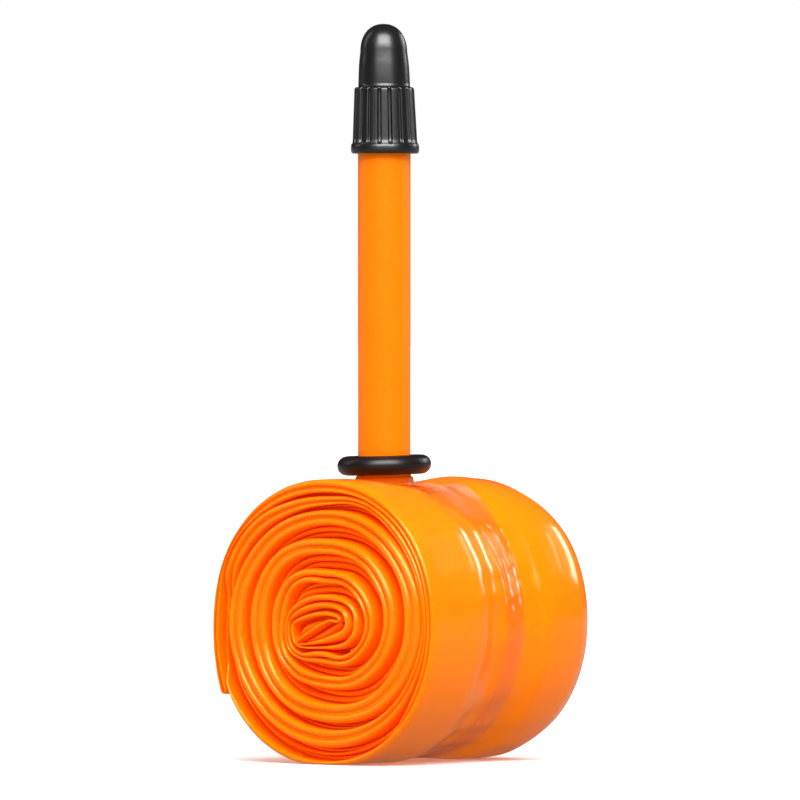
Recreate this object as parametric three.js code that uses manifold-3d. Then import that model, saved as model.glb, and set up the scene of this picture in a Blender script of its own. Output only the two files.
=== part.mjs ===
// A rolled-up bicycle inner tube of thin TPU film, with its Presta valve standing out of the roll.
// Millimetres, +Z up. The origin is on the resting surface, under the middle of the roll, whose axis
// runs along Y. The valve stands along Z, a little off the middle of the roll.
import * as THREE from 'three';
import { mergeVertices } from 'three/addons/utils/BufferGeometryUtils.js';
import Module from 'manifold-3d';

const wasm = await Module();
wasm.setup();

// ---- driving dimensions ----
const ROLL_RADIUS = 17.6;
const ROLL_LENGTH = 32.5;
const ROLL_AXIS_Z = 17.3;          // the soft roll settles 0.3 mm on the surface it stands on
const WAIST_RADIUS = 16.3;         // where the strap pulls the roll in
const WAIST_Y = 0.9;

const VALVE_X = -2.3;
const VALVE_Y = -1.45;
const STEM_RADIUS = 3.25;          // 6.5 mm stem for a 6.5 mm rim hole
const STEM_TOP = 75.6;
const FOOT_RADIUS = 3.6;
const FLANGE_RADIUS = 5.0;
const FLANGE_Z = 33.3;             // underside of the flange, welded to the tube on the real object
const CLEARANCE = 0.3;             // between neighbouring pieces

const STRAP_WIDTH = 5.2;
const STRAP_THICKNESS = 0.45;
const STRAP_RADIUS = WAIST_RADIUS + CLEARANCE;
const EYELET_Z = 34.5;
const EYELET_RADIUS = 5.3;

const O_RING_Z = 36.5;
const O_RING_RADIUS = 4.6;         // to the middle of the rubber
const O_RING_SECTION = 1.2;

const INSERT_RADIUS = 2.45;
const THREAD_RADIUS = 2.6;         // 5.2 mm valve thread
const THREAD_PITCH = 1.04;
const INSERT_BOTTOM = 62.6;
const NECK_TOP = 78.0;
const CORE_BOTTOM = 64.0;
const CORE_TOP = 82.0;
const CORE_RADIUS = 1.65;
const PIN_RADIUS = 0.6;

const CAP_BOTTOM = 74.9;
const CAP_TOP = 90.9;
const CAP_RIM_TOP = 76.2;
const CAP_SHOULDER = 83.1;
const CAP_RIBS = 18;

// ---- materials ----
function plastic(color, roughness) {
  return new THREE.MeshStandardMaterial({ color, roughness, metalness: 0 });
}

function metal(color, roughness) {
  return new THREE.MeshStandardMaterial({ color, roughness, metalness: 1 });
}

const tubeFilm = plastic(0xff8a0f, 0.3);
const stemOrange = plastic(0xfb8310, 0.35);
const blackPlastic = plastic(0x1c1c1c, 0.4);
const blackRubber = plastic(0x231815, 0.5);
const brass = metal(0xb5893c, 0.3);
const clearFilm = new THREE.MeshStandardMaterial({
  color: 0xfadcc8, roughness: 0.1, metalness: 0, transparent: true, opacity: 0.4,
});

// ---- helpers ----
function solidOf(geometry) {
  const bare = geometry.clone();
  bare.deleteAttribute('normal');
  bare.deleteAttribute('uv');
  const merged = mergeVertices(bare, 1e-4);
  return new wasm.Manifold(new wasm.Mesh({
    numProp: 3,
    vertProperties: new Float32Array(merged.attributes.position.array),
    triVerts: new Uint32Array(merged.index.array),
  }));
}

function geometryOf(solid) {
  const mesh = solid.getMesh();
  const geometry = new THREE.BufferGeometry();
  geometry.setAttribute('position', new THREE.BufferAttribute(mesh.vertProperties, 3));
  geometry.setIndex(new THREE.BufferAttribute(mesh.triVerts, 1));
  return geometry;
}

// A solid of revolution about Z. Each point is [radius, z]; the profile runs anticlockwise.
function turned(profile, segments) {
  const points = profile.map(([radius, z]) => new THREE.Vector2(radius, z));
  return new THREE.LatheGeometry(points, segments).rotateX(Math.PI / 2);
}

// The same for a hollow piece: the profile closes on its first point.
function turnedRing(profile, segments) {
  return turned([...profile, profile[0]], segments);
}

function cylinder(radius, bottom, top, segments) {
  const height = top - bottom;
  return new THREE.CylinderGeometry(radius, radius, height, segments)
    .rotateX(Math.PI / 2)
    .translate(0, 0, bottom + height / 2);
}

function box(width, depth, height, x, y, z) {
  return new THREE.BoxGeometry(width, depth, height).translate(x, y, z);
}

// Ridges of a thread on a profile that rises from `bottom`, as [radius, z] points.
function threadRidges(bottom, count) {
  const points = [];
  for (let turn = 0; turn < count; turn += 1) {
    const z = bottom + turn * THREAD_PITCH;
    points.push([THREAD_RADIUS - 0.3, z + 0.1]);
    points.push([THREAD_RADIUS, z + 0.45]);
    points.push([THREAD_RADIUS, z + 0.65]);
    points.push([THREAD_RADIUS - 0.3, z + 1.0]);
  }
  return points;
}

const part = new THREE.Group();
const valve = new THREE.Group();
valve.position.set(VALVE_X, VALVE_Y, 0);
part.add(valve);

function addPiece(parent, name, geometry, material) {
  const piece = new THREE.Mesh(geometry, material);
  piece.name = name;
  parent.add(piece);
}

// ---- the rolled tube: a turned body with rounded ends and a waist under the strap ----
function rolledTube() {
  const end = ROLL_LENGTH / 2;
  const side = new THREE.Path();
  side.moveTo(0, -end);
  side.lineTo(ROLL_RADIUS - 2.2, -end);
  side.quadraticCurveTo(ROLL_RADIUS, -end, ROLL_RADIUS, -end + 2.6);
  side.lineTo(ROLL_RADIUS, WAIST_Y - 10.4);
  side.bezierCurveTo(ROLL_RADIUS, WAIST_Y - 6.4, WAIST_RADIUS, WAIST_Y - 6.4, WAIST_RADIUS, WAIST_Y - 3.1);
  side.lineTo(WAIST_RADIUS, WAIST_Y + 3.1);
  side.bezierCurveTo(WAIST_RADIUS, WAIST_Y + 5.6, ROLL_RADIUS, WAIST_Y + 5.6, ROLL_RADIUS, WAIST_Y + 9.4);
  side.lineTo(ROLL_RADIUS, end - 3.6);
  side.quadraticCurveTo(ROLL_RADIUS, end, ROLL_RADIUS - 3.2, end);
  side.lineTo(0, end);
  const roll = solidOf(new THREE.LatheGeometry(side.getPoints(5), 64).translate(0, 0, ROLL_AXIS_Z));
  const belowFloor = solidOf(box(60, 60, 20, 0, 0, -10));
  const valveSeat = solidOf(
    cylinder(EYELET_RADIUS + 0.4, FLANGE_Z - CLEARANCE, 40, 32).translate(VALVE_X, VALVE_Y, 0));
  return geometryOf(roll.subtract(belowFloor).subtract(valveSeat));
}

// ---- the strap: a film loop drawn tight round the waist and over the valve's foot ----
function strapOutline(path, radius, topZ, clockwise) {
  const reach = FLANGE_RADIUS + 0.2;
  const rise = topZ - ROLL_AXIS_Z;
  const tangentAngle = (x, side) => {
    const distance = Math.hypot(x, rise);
    return Math.atan2(rise, x) - side * Math.acos(radius / distance);
  };
  const right = tangentAngle(VALVE_X + reach, 1);
  const left = tangentAngle(VALVE_X - reach, -1);
  if (clockwise) {
    path.moveTo(VALVE_X - reach, topZ);
    path.lineTo(VALVE_X + reach, topZ);
    path.absarc(0, ROLL_AXIS_Z, radius, right, left, true);
  } else {
    path.moveTo(VALVE_X + reach, topZ);
    path.lineTo(VALVE_X - reach, topZ);
    path.absarc(0, ROLL_AXIS_Z, radius, left, right, false);
  }
  path.closePath();
  return path;
}

function clearStrap() {
  const outline = strapOutline(
    new THREE.Shape(), STRAP_RADIUS + STRAP_THICKNESS, EYELET_Z + STRAP_THICKNESS, false);
  outline.holes.push(strapOutline(new THREE.Path(), STRAP_RADIUS, EYELET_Z, true));
  const loop = new THREE.ExtrudeGeometry(outline, { depth: STRAP_WIDTH, bevelEnabled: false, curveSegments: 48 })
    .rotateX(Math.PI / 2)
    .translate(0, WAIST_Y + STRAP_WIDTH / 2, 0);
  const eyelet = cylinder(EYELET_RADIUS, EYELET_Z, EYELET_Z + STRAP_THICKNESS, 32).translate(VALVE_X, VALVE_Y, 0);
  const footHole = cylinder(FOOT_RADIUS + CLEARANCE, 30, 40, 32).translate(VALVE_X, VALVE_Y, 0);
  return geometryOf(solidOf(loop).add(solidOf(eyelet)).subtract(solidOf(footHole)));
}

// ---- the moulded stem: a long tube with a flared foot and the flange that holds it in the tube ----
function valveStem() {
  const bore = 2.0;
  const socket = INSERT_RADIUS + CLEARANCE;
  return turnedRing([
    [bore, FLANGE_Z],
    [FLANGE_RADIUS, FLANGE_Z],
    [FLANGE_RADIUS, FLANGE_Z + 0.5],
    [FOOT_RADIUS + 0.2, FLANGE_Z + 0.8],
    [FOOT_RADIUS, FLANGE_Z + 1.0],
    [FOOT_RADIUS, FLANGE_Z + 1.6],
    [STEM_RADIUS, FLANGE_Z + 1.9],
    [STEM_RADIUS, STEM_TOP - 0.2],
    [STEM_RADIUS - 0.15, STEM_TOP],
    [socket, STEM_TOP],
    [socket, INSERT_BOTTOM - CLEARANCE],
    [bore, INSERT_BOTTOM - CLEARANCE],
  ], 36);
}

// ---- the threaded sleeve in the top of the stem ----
function coreInsert() {
  const bore = CORE_RADIUS + CLEARANCE;
  return turnedRing([
    [bore, INSERT_BOTTOM],
    [INSERT_RADIUS - 0.2, INSERT_BOTTOM],
    [INSERT_RADIUS, INSERT_BOTTOM + 0.2],
    [INSERT_RADIUS, STEM_TOP + 0.1],
    ...threadRidges(STEM_TOP + 0.1, 2),
    [THREAD_RADIUS - 0.3, NECK_TOP],
    [bore, NECK_TOP],
  ], 28);
}

// ---- the valve core's body: barrel with a groove for its gasket, threaded head with two flats ----
function valveCore() {
  const bore = 0.95;
  const groove = 1.25;
  const headBottom = NECK_TOP + CLEARANCE;
  const body = turnedRing([
    [bore, CORE_BOTTOM],
    [CORE_RADIUS - 0.35, CORE_BOTTOM],
    [CORE_RADIUS, CORE_BOTTOM + 0.35],
    [CORE_RADIUS, CORE_BOTTOM + 2.0],
    [groove, CORE_BOTTOM + 2.0],
    [groove, CORE_BOTTOM + 3.6],
    [CORE_RADIUS, CORE_BOTTOM + 3.6],
    [CORE_RADIUS, headBottom],
    ...threadRidges(headBottom, 3),
    [THREAD_RADIUS - 0.3, CORE_TOP - 0.25],
    [THREAD_RADIUS - 0.55, CORE_TOP],
    [bore, CORE_TOP],
  ], 28);
  const flatAt = (y) => solidOf(box(8, 1, 5, 0, y, headBottom + 2.5));
  return geometryOf(solidOf(body).subtract(flatAt(2.65)).subtract(flatAt(-2.65)));
}

function coreGasket() {
  const bottom = CORE_BOTTOM + 2.15;
  const top = CORE_BOTTOM + 3.45;
  return turnedRing([[1.4, bottom], [1.7, bottom], [1.8, bottom + 0.2], [1.8, top - 0.2], [1.7, top], [1.4, top]], 28);
}

// ---- the plunger, its seal and its lock nut ----
function valvePin() {
  const bottom = CORE_BOTTOM - 1.1;
  const top = 88.1;
  return turned([
    [0, bottom],
    [1.2, bottom],
    [1.2, bottom + 0.4],
    [PIN_RADIUS, bottom + 0.4],
    [PIN_RADIUS, top - 0.4],
    [PIN_RADIUS - 0.25, top],
    [0, top],
  ], 20);
}

function pinSeal() {
  const bottom = CORE_BOTTOM - 0.55;
  const top = CORE_BOTTOM - 0.15;
  return turnedRing([[0.8, bottom], [1.5, bottom], [1.5, top], [0.8, top]], 20);
}

function lockNut() {
  const knurls = 16;
  const outline = new THREE.Shape();
  for (let step = 0; step < knurls * 4; step += 1) {
    const angle = (step + 0.5) * Math.PI / (knurls * 2);
    const radius = step % 4 < 2 ? 1.95 : 1.75;
    if (step === 0) {
      outline.moveTo(radius * Math.cos(angle), radius * Math.sin(angle));
    } else {
      outline.lineTo(radius * Math.cos(angle), radius * Math.sin(angle));
    }
  }
  outline.holes.push(new THREE.Path().absarc(0, 0, PIN_RADIUS + 0.2, 0, Math.PI * 2, true));
  return new THREE.ExtrudeGeometry(outline, { depth: 2.3, bevelEnabled: false, curveSegments: 10 })
    .translate(0, 0, CORE_TOP + CLEARANCE);
}

// ---- the cap: rolled rim, tapering ribbed skirt and dome, hollow over the valve thread ----
function ribbedSkirt() {
  const bottomRadius = 4.0;
  const topRadius = 3.7;
  const grooveDepth = 0.35;
  const pitch = Math.PI * 2 / CAP_RIBS;
  const outline = new THREE.Shape();
  for (let rib = 0; rib < CAP_RIBS; rib += 1) {
    const corners = [[0.0, grooveDepth], [0.12, 0], [0.62, 0], [0.74, grooveDepth]];
    for (const [along, depth] of corners) {
      const angle = (rib + along) * pitch;
      const radius = bottomRadius - depth;
      const move = rib + along === 0 ? 'moveTo' : 'lineTo';
      outline[move](radius * Math.cos(angle), radius * Math.sin(angle));
    }
  }
  const height = CAP_SHOULDER - CAP_RIM_TOP + 0.2;
  const skirt = new THREE.ExtrudeGeometry(outline, { depth: height, bevelEnabled: false });
  const position = skirt.attributes.position;
  for (let i = 0; i < position.count; i += 1) {
    const taper = 1 - (1 - topRadius / bottomRadius) * position.getZ(i) / height;
    position.setXY(i, position.getX(i) * taper, position.getY(i) * taper);
  }
  return skirt.translate(0, 0, CAP_RIM_TOP - 0.2);
}

function valveCap() {
  const dome = new THREE.Path();
  dome.moveTo(0, CAP_RIM_TOP);
  dome.lineTo(3.3, CAP_RIM_TOP);
  dome.lineTo(3.2, CAP_SHOULDER);
  dome.quadraticCurveTo(3.1, 85.6, 2.9, 87.4);
  dome.bezierCurveTo(2.7, 89.4, 1.7, CAP_TOP, 0, CAP_TOP);
  const domeProfile = dome.getPoints(7).map((point) => [point.x, point.y]);
  const rim = turned([
    [0, CAP_BOTTOM],
    [4.05, CAP_BOTTOM],
    [4.2, CAP_BOTTOM + 0.2],
    [4.2, CAP_RIM_TOP - 0.35],
    [4.0, CAP_RIM_TOP],
    [0, CAP_RIM_TOP],
  ], 36);
  const hollow = turned([
    [0, CAP_BOTTOM - 1],
    [STEM_RADIUS + CLEARANCE, CAP_BOTTOM - 1],
    [STEM_RADIUS + CLEARANCE, STEM_TOP + CLEARANCE],
    [THREAD_RADIUS + 0.35, STEM_TOP + CLEARANCE],
    [THREAD_RADIUS + 0.35, CAP_SHOULDER - 0.6],
    [2.35, CAP_SHOULDER + 0.1],
    [2.2, 87.6],
    [1.5, 89.2],
    [0, 89.8],
  ], 28);
  const outside = solidOf(rim).add(solidOf(ribbedSkirt())).add(solidOf(turned(domeProfile, 36)));
  return geometryOf(outside.subtract(solidOf(hollow)));
}

// ---- the rubber ring on the stem ----
function stemORing() {
  const steps = 14;
  const section = [];
  for (let step = 0; step < steps; step += 1) {
    const angle = step * Math.PI * 2 / steps;
    section.push([
      O_RING_RADIUS + O_RING_SECTION * Math.cos(angle),
      O_RING_Z + O_RING_SECTION * Math.sin(angle),
    ]);
  }
  return turnedRing(section, 40);
}

addPiece(part, 'tube_roll', rolledTube(), tubeFilm);
addPiece(part, 'clear_strap', clearStrap(), clearFilm);
addPiece(valve, 'valve_stem', valveStem(), stemOrange);
addPiece(valve, 'core_insert', coreInsert(), brass);
addPiece(valve, 'valve_core', valveCore(), brass);
addPiece(valve, 'core_gasket', coreGasket(), blackRubber);
addPiece(valve, 'valve_pin', valvePin(), brass);
addPiece(valve, 'pin_seal', pinSeal(), blackRubber);
addPiece(valve, 'lock_nut', lockNut(), brass);
addPiece(valve, 'valve_cap', valveCap(), blackPlastic);
addPiece(valve, 'stem_o_ring', stemORing(), blackRubber);

export default part;
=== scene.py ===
"""Looks of a rolled TPU inner tube with its valve.

The CAD frame gives the bodies, the sizes and the places. Lengths below are in millimetres, heights
are above the surface that the roll stands on, and the roll's own layers are measured from its axis.
"""
import math

import bpy
import numpy as np
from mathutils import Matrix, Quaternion, Vector

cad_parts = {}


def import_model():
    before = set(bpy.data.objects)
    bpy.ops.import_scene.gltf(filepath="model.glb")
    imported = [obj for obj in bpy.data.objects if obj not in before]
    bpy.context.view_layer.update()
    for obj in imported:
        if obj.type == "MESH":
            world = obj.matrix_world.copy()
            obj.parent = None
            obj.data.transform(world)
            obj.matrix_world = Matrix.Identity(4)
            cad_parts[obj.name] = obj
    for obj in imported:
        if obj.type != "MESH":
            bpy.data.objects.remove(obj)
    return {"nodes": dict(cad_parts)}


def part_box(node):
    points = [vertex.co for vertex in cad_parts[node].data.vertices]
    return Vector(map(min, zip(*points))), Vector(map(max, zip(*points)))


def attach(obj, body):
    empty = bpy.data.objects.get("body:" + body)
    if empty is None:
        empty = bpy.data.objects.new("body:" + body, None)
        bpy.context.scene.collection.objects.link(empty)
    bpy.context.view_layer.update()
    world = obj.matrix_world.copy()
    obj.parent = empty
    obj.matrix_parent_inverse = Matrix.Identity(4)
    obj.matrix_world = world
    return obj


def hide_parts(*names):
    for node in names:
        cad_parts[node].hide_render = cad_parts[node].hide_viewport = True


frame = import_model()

MM = 0.001


def box_mm(node):
    """Lowest and highest corner of a CAD node, in millimetres, to the micrometre."""
    low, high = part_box(node)
    return np.round(np.array(low) / MM, 3), np.round(np.array(high) / MM, 3)


ROLL_LOW, ROLL_HIGH = box_mm("tube_roll")
STEM_LOW, STEM_HIGH = box_mm("valve_stem")
INSERT_LOW, INSERT_HIGH = box_mm("core_insert")
RING_LOW, RING_HIGH = box_mm("stem_o_ring")
CAP_LOW, CAP_HIGH = box_mm("valve_cap")

# ---- the valve ----
VALVE_X, VALVE_Y = (STEM_LOW[:2] + STEM_HIGH[:2]) / 2
STEM_RADIUS = 3.25
STEM_TOP = STEM_HIGH[2]
STEM_BORE = 2.0
STEM_STEPS = 96
SOCKET_RADIUS = (INSERT_HIGH[0] - INSERT_LOW[0]) / 2 + 0.15
SOCKET_FLOOR = INSERT_LOW[2] - 0.3
FLANGE_RADIUS = (STEM_HIGH[0] - STEM_LOW[0]) / 2
FLANGE_Z = STEM_LOW[2]
FOOT_RADIUS = 3.6
FOOT_BOTTOM_RADIUS = FOOT_RADIUS + 0.1
# Heights above the bottom of the flange.
FLANGE_EDGE = 0.42
FOOT_BOTTOM = 0.75
FOOT_TOP = 1.65
FOOT_TAPER_TOP = 1.95
EDGE_ROUNDING = 0.22
RING_Z = (RING_LOW[2] + RING_HIGH[2]) / 2
RING_SECTION = 1.2
RING_RADIUS = (RING_HIGH[0] - RING_LOW[0]) / 2 - RING_SECTION
RING_TILT = math.radians(1.5)
RING_STEPS = (160, 48)

# ---- the cap, with its own heights measured from its bottom ----
CAP_BOTTOM = CAP_LOW[2]
CAP_HEIGHT = CAP_HIGH[2] - CAP_LOW[2]
CAP_RIM_RADIUS = (CAP_HIGH[0] - CAP_LOW[0]) / 2
CAP_RIM_TOP = 1.3
CAP_SKIRT_RADIUS = 4.0
CAP_SKIRT_TAPER = 0.3
CAP_SKIRT_ROWS = 14
CAP_SHOULDER = 8.2
CAP_SHOULDER_DROP = 0.35
CAP_SHOULDER_ROWS = 7
CAP_SHOULDER_POWER = 0.6
CAP_DOME_RADIUS = 3.2
CAP_CROWN = 12.5
CAP_CROWN_RADIUS = 2.9
CAP_CROWN_ROWS = 17
CAP_CROWN_POWERS = (0.92, 0.9)
# Height and radius, up the dome's side.
CAP_DOME = [(8.7, 3.19), (9.5, 3.16), (10.7, 3.1), (11.6, 3.02), (CAP_CROWN, CAP_CROWN_RADIUS)]
# Height and radius, from the hollow's top down to the rim.
CAP_HOLLOW = [
    (14.85, .02), (14.8, .6), (14.3, 1.5), (12.7, 2.2), (8.3, 2.35), (7.6, 2.95), (4.1, 2.95),
    (1.0, 2.95), (.95, 3.55), (.3, 3.55), (.05, 3.6),
]
CAP_RIBS = 18
CAP_RIB_DEPTH = 0.35
CAP_RIB_STEPS = 20
CAP_GROOVE = (0.10, 0.20)
CAP_TIP_RADIUS = 0.02
CAP_TILT = math.radians(0.75)

# ---- the roll ----
ROLL_RADIUS = ROLL_HIGH[0]
ROLL_AXIS_Z = ROLL_HIGH[2] - ROLL_RADIUS
ROLL_FRONT = ROLL_LOW[1]
ROLL_BACK = ROLL_HIGH[1]
WAIST_Y = 0.9
WAIST_DEPTH = 1.3
WAIST_FRONT = (2.3, 7.6)
WAIST_BACK = (2.5, 6.2)
SEAT_Z = FLANGE_Z - 0.3
SEAT_RADIUS = FLANGE_RADIUS + 0.4
SEAT_REACH = 10.6
BACK_SPAN = 8.0
BACK_DROP = 3.3
BACK_CURVE = 2.6
BACK_ROUNDING = 0.985
LIP_SPAN = 1.6
LIP_DROP = 0.28
LIP_ROUNDING = 0.98
REST_GAP = 0.02
REST_SOFTNESS = 0.22

# One turn of the doubled film after another, read along the strip from its tip at the lower left.
# Turn, angle clockwise from the top, outer radius, outer film pair, space between, inner film pair.
TIP_ANGLE = 242
WRAPS = [
    (0, 242, 18.80, .25, .40, .25), (0, 256, 18.20, .35, .10, .45), (0, 270, 17.90, .38, .04, .60),
    (0, 300, 17.97, .32, .04, .32), (0, 330, 17.95, .80, .04, .70), (0, 0, 17.70, .95, .04, .70),
    (0, 24, 17.85, .75, .04, .55), (0, 45, 18.00, .70, .04, .50), (0, 90, 17.70, .70, .04, .45),
    (0, 135, 17.95, .80, .04, .50), (0, 180, 17.70, .85, .10, .50), (0, 225, 17.95, .85, .10, .40),
    (1, 242, 17.80, .60, .04, .45), (1, 270, 16.80, .60, .04, .50), (1, 300, 17.22, 1.0, .04, .90),
    (1, 318, 16.85, 1.0, .04, .95), (1, 340, 15.95, .85, .04, .75), (1, 0, 15.65, .65, .04, .52),
    (1, 24, 16.45, .50, .04, .40), (1, 45, 16.65, .65, .04, .50), (1, 90, 16.45, .32, .04, .28),
    (1, 135, 15.85, .75, .04, .65), (1, 180, 15.30, 1.2, .04, 1.15), (1, 225, 15.35, 1.25, .04, 1.2),
    (2, 270, 15.60, 1.3, .06, 1.2), (2, 315, 14.60, 1.15, .04, 1.15), (2, 0, 13.95, .80, .04, 1.15),
    (2, 24, 14.50, 1.0, .04, 1.2), (2, 45, 15.05, 1.15, .04, 1.4), (2, 90, 15.55, 1.35, .06, 1.6),
    (2, 135, 13.90, 1.25, .04, 1.3), (2, 180, 12.20, 1.2, .06, 1.25), (2, 225, 12.25, 1.3, .04, 1.25),
    (3, 270, 12.10, 1.5, .06, 1.2), (3, 315, 11.65, 1.2, .04, 1.1), (3, 0, 10.45, .98, .05, 1.0),
    (3, 45, 11.20, 1.0, .05, 1.0), (3, 90, 11.35, 1.0, .06, .92), (3, 135, 9.75, 1.0, .05, .85),
    (3, 180, 8.05, .95, .05, .72), (3, 225, 8.60, 1.05, .05, .8), (3, 240, 8.75, 1.05, .05, .8),
    (4, 270, 8.55, 1.3, .06, .95), (4, 315, 8.00, 1.0, .05, .85), (4, 0, 6.65, .95, .05, .88),
    (4, 45, 7.45, .9, .05, .8), (4, 90, 7.85, .8, .05, .55), (4, 135, 6.65, .8, .1, .6),
    (4, 180, 5.05, .8, .08, .78), (4, 205, 5.35, .75, .06, .75), (4, 225, 6.15, .5, .05, .5),
    (4, 238, 6.65, .5, .05, .5), (5, 256, 6.35, .42, .03, .38), (5, 270, 6.05, .38, .03, .33),
]
# The fold at the heart of the roll, where the outer film pair turns back into the inner one.
# Across, up, thickness.
HEART = [
    (-5.45, 1.05, .5), (-4.3, 2.1, .72), (-2.6, 2.9, .8), (-.5, 3.2, .84), (1.5, 3.15, .82),
    (3.0, 2.85, .75), (4.2, 2.15, .75), (4.88, 1.1, .78), (5.02, -.1, .78), (4.8, -1.2, .8),
    (4.1, -2.0, .82), (3.0, -2.6, .8), (1.6, -2.88, .65), (0, -2.97, .42), (-1.6, -3.02, .34),
    (-3.0, -3.02, .3), (-4.2, -2.75, .3), (-4.85, -1.85, .38), (-4.98, -.8, .46), (-4.7, -.08, .5),
    (-3.6, .48, .62), (-1.9, .97, .66), (-.2, 1.2, .66), (1.2, 1.1, .6), (2.1, .87, .48),
    (2.5, .57, .4), (2.1, .27, .4), (1.1, .36, .45), (0, .1, .55), (-1.2, -.47, .6),
    (-2.4, -1.12, .55), (-3.3, -1.72, .42), (-3.98, -2.2, .3), (-4.2, -2.43, .26),
    (-3.95, -2.6, .28), (-3.2, -2.6, .34), (-2.2, -2.5, .42), (-1, -2.33, .55), (.5, -2.0, .85),
    (1.8, -1.6, 1.05), (2.9, -1.1, 1.1), (3.5, -.4, 1.0), (3.62, .4, .9), (3.3, 1.25, .85),
    (2.5, 1.85, .88), (1.2, 2.2, .92), (-.5, 2.25, .92), (-2.2, 1.98, .88), (-3.8, 1.45, .78),
    (-4.95, .7, .5),
]
# Film that fills the hollows at the heart: how far it lies behind the front end and behind the back
# end, then across, up, thickness. The last three are bunched up deep inside and close the view through.
HEART_PLEATS = [
    (1.5, 0, [
        (-3.5, -2.3, .2), (-2.4, -1.95, .62), (-1.0, -1.4, 1.0), (.3, -.8, 1.1), (1.4, -.25, .9),
        (2.1, 0, .5)]),
    (1.5, 0, [
        (-5.2, 2.4, .3), (-4.3, 3.3, .75), (-2.6, 3.85, .8), (-.5, 4.1, .8), (1.5, 4.1, .85),
        (3.2, 3.7, .9), (4.7, 2.85, .85), (5.6, 1.6, .8), (5.85, 0, .75), (5.55, -1.4, .7),
        (4.6, -2.75, .5), (3.4, -3.25, .3)]),
    (2.1, 0, [
        (-5.5, 2.6, .3), (-4.5, 3.9, .7), (-2.6, 4.6, .7), (0, 4.75, .6), (2.4, 4.7, .7),
        (4.2, 4.0, .7), (5.6, 2.9, .6), (6.2, 1.2, .5)]),
    (1.2, 0, [
        (-4.25, -1.4, .3), (-3.6, -.75, 1.0), (-2.6, -.35, .95), (-1.6, 0, .5), (-.9, .3, .25)]),
    (3.2, 3.2, [
        (-4.9, -.5, 1.6), (-4.2, -.35, 3.4), (-2.4, -.1, 4.6), (0, .1, 4.9), (2.4, .1, 4.6),
        (4.0, .1, 3.2), (4.7, .1, 1.6)]),
    (3.2, 3.2, [(-6.0, .6, .35), (-5.6, 1.6, 1.0), (-5.0, 2.2, 1.2), (-4.3, 2.8, .8)]),
    (12.0, 12.0, [
        (-5.9, 0, 2.5), (-4.5, 0, 7.0), (-2.2, 0, 10.5), (0, 0, 11.5), (2.2, 0, 10.5), (4.5, 0, 7.5),
        (5.8, 0, 3.0)]),
]
HEART_COURSE = 3.0
HEART_LEAD = 20
HEART_STATIONS = 720
HEART_PLEAT_STATIONS = 60
RUN_STATIONS = 1250
TIP_STATIONS = 7
LAYER_PLAY = 0.03
THINNEST_HALF = 0.06
FOLD_STEPS = 11
SIDE_STEPS = 24
FOLD_SHARE = 1.5
FOLD_EXTRA = 0.16
FOLD_DEEPEST = 1.3

# How far the folded edges lie in from the ends of the roll. Places are in turns from the strip's tip.
FRONT_INSET = 0.28
FRONT_RAGGED = 0.20
FRONT_RAGGED_PLACE = (0.5, 1.2)
FRONT_RAGGED_HEART = 0.8
CRESCENT_DEPTH = 2.3
CRESCENT_PLACE = (0.66, 0.80, 1.06, 1.16)
PINCH_DEPTH = 1.2
PINCH_PLACE = (1.0, 1.03, 1.1, 1.14)
BACK_INSET = 0.15
BACK_RAGGED = 0.2

# Film tucked between one turn and the next, and webs between the two film pairs of a turn.
PLEAT_PLACE = (0.74, 0.26)
PLEAT_RECESS = (1.9, 2.5)
PLEAT_RAGGED = 0.35
PLEAT_START = 0.12
PLEAT_STATIONS = 1100
PLEAT_SHARE = 0.5
PLEAT_THINNEST = 0.16
PLEAT_TIGHT = (0.12, 0.45)
PLEAT_TIGHT_RECESS = 2.2
WEB_RECESS = 0.32
WEB_SHARE = 0.8

# What the strap and the slack back end do to the outer turns.
SKIN_RADII = (14.5, 17.4)
SKIN_REACH = 6.5
SKIN_FOLDS = 19
SKIN_FOLD_SIZE = 0.09
SKIN_SLACK_SIZE = 0.12
BACK_LINES_FROM = (5.0, 8.0)
BACK_LINES_SIZE = 0.07
# Depth, angle clockwise from the top and its spread, place along the axis and its spread.
DENTS = [
    (0.60, 96, 18, -2.4, 0.9), (0.70, 86, 24, 4.1, 0.7), (0.30, 110, 24, -5.0, 1.2),
    (0.45, 262, 26, 4.2, 0.9), (0.40, 285, 22, -2.6, 1.0),
]

# ---- the strap ----
STRAP_RADIUS = ROLL_RADIUS + 0.25
STRAP_ENDS = (8, 345)
STRAP_WIDTH = 5.2
STRAP_PLEATED_WIDTH = 3.3
STRAP_PLEATED_ANGLES = (30, 75, 300, 335)
STRAP_TOP_EXTRA = 3.6
STRAP_TOP_ANGLES = (8, 48)
STRAP_LOW_EXTRA = 1.0
STRAP_LOW_ANGLES = (105, 150, 205, 250)
STRAP_SWAY = 0.15
STRAP_LIFT = 0.32
STRAP_PLEAT_SIZE = 0.16
STRAP_WRINKLE_SIZE = 0.05
STRAP_REST_Z = 0.03
STRAP_ROWS = 360
STRAP_COLUMNS = 41
EYELET_Z = FLANGE_Z + 0.9
EYELET_RADIUS = 5.3
EYELET_CLEARANCE = 0.3
EYELET_WAVE = 0.08
EYELET_COVER = 0.15
EYELET_SLOPE = (EYELET_RADIUS - 0.6, EYELET_RADIUS + 5.5)
EYELET_GRID = (6, 72)
# Heights over which the pinkish haze at the strap's top rises, and its largest share: partly bunched
# film, partly a painted reflection.
HAZE_AND_SHEEN_HEIGHTS = (29.5, 34.0)
HAZE_AND_SHEEN_MOST = 0.40

# ---- the studio ----
VIEW_AZIMUTH = math.radians(39.869)
CAMERA_DISTANCE = 1500.0
CAMERA_Z = 61.04
CAMERA_CLIP = (50.0, 50000.0)
AIM_Z = 44.519
AIM_RIGHT = -0.754
SENSOR = 36.0
LENS = 547.4
FLOOR_REACH = 6000.0
LIGHT_AIM_Z = 40.0
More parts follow.
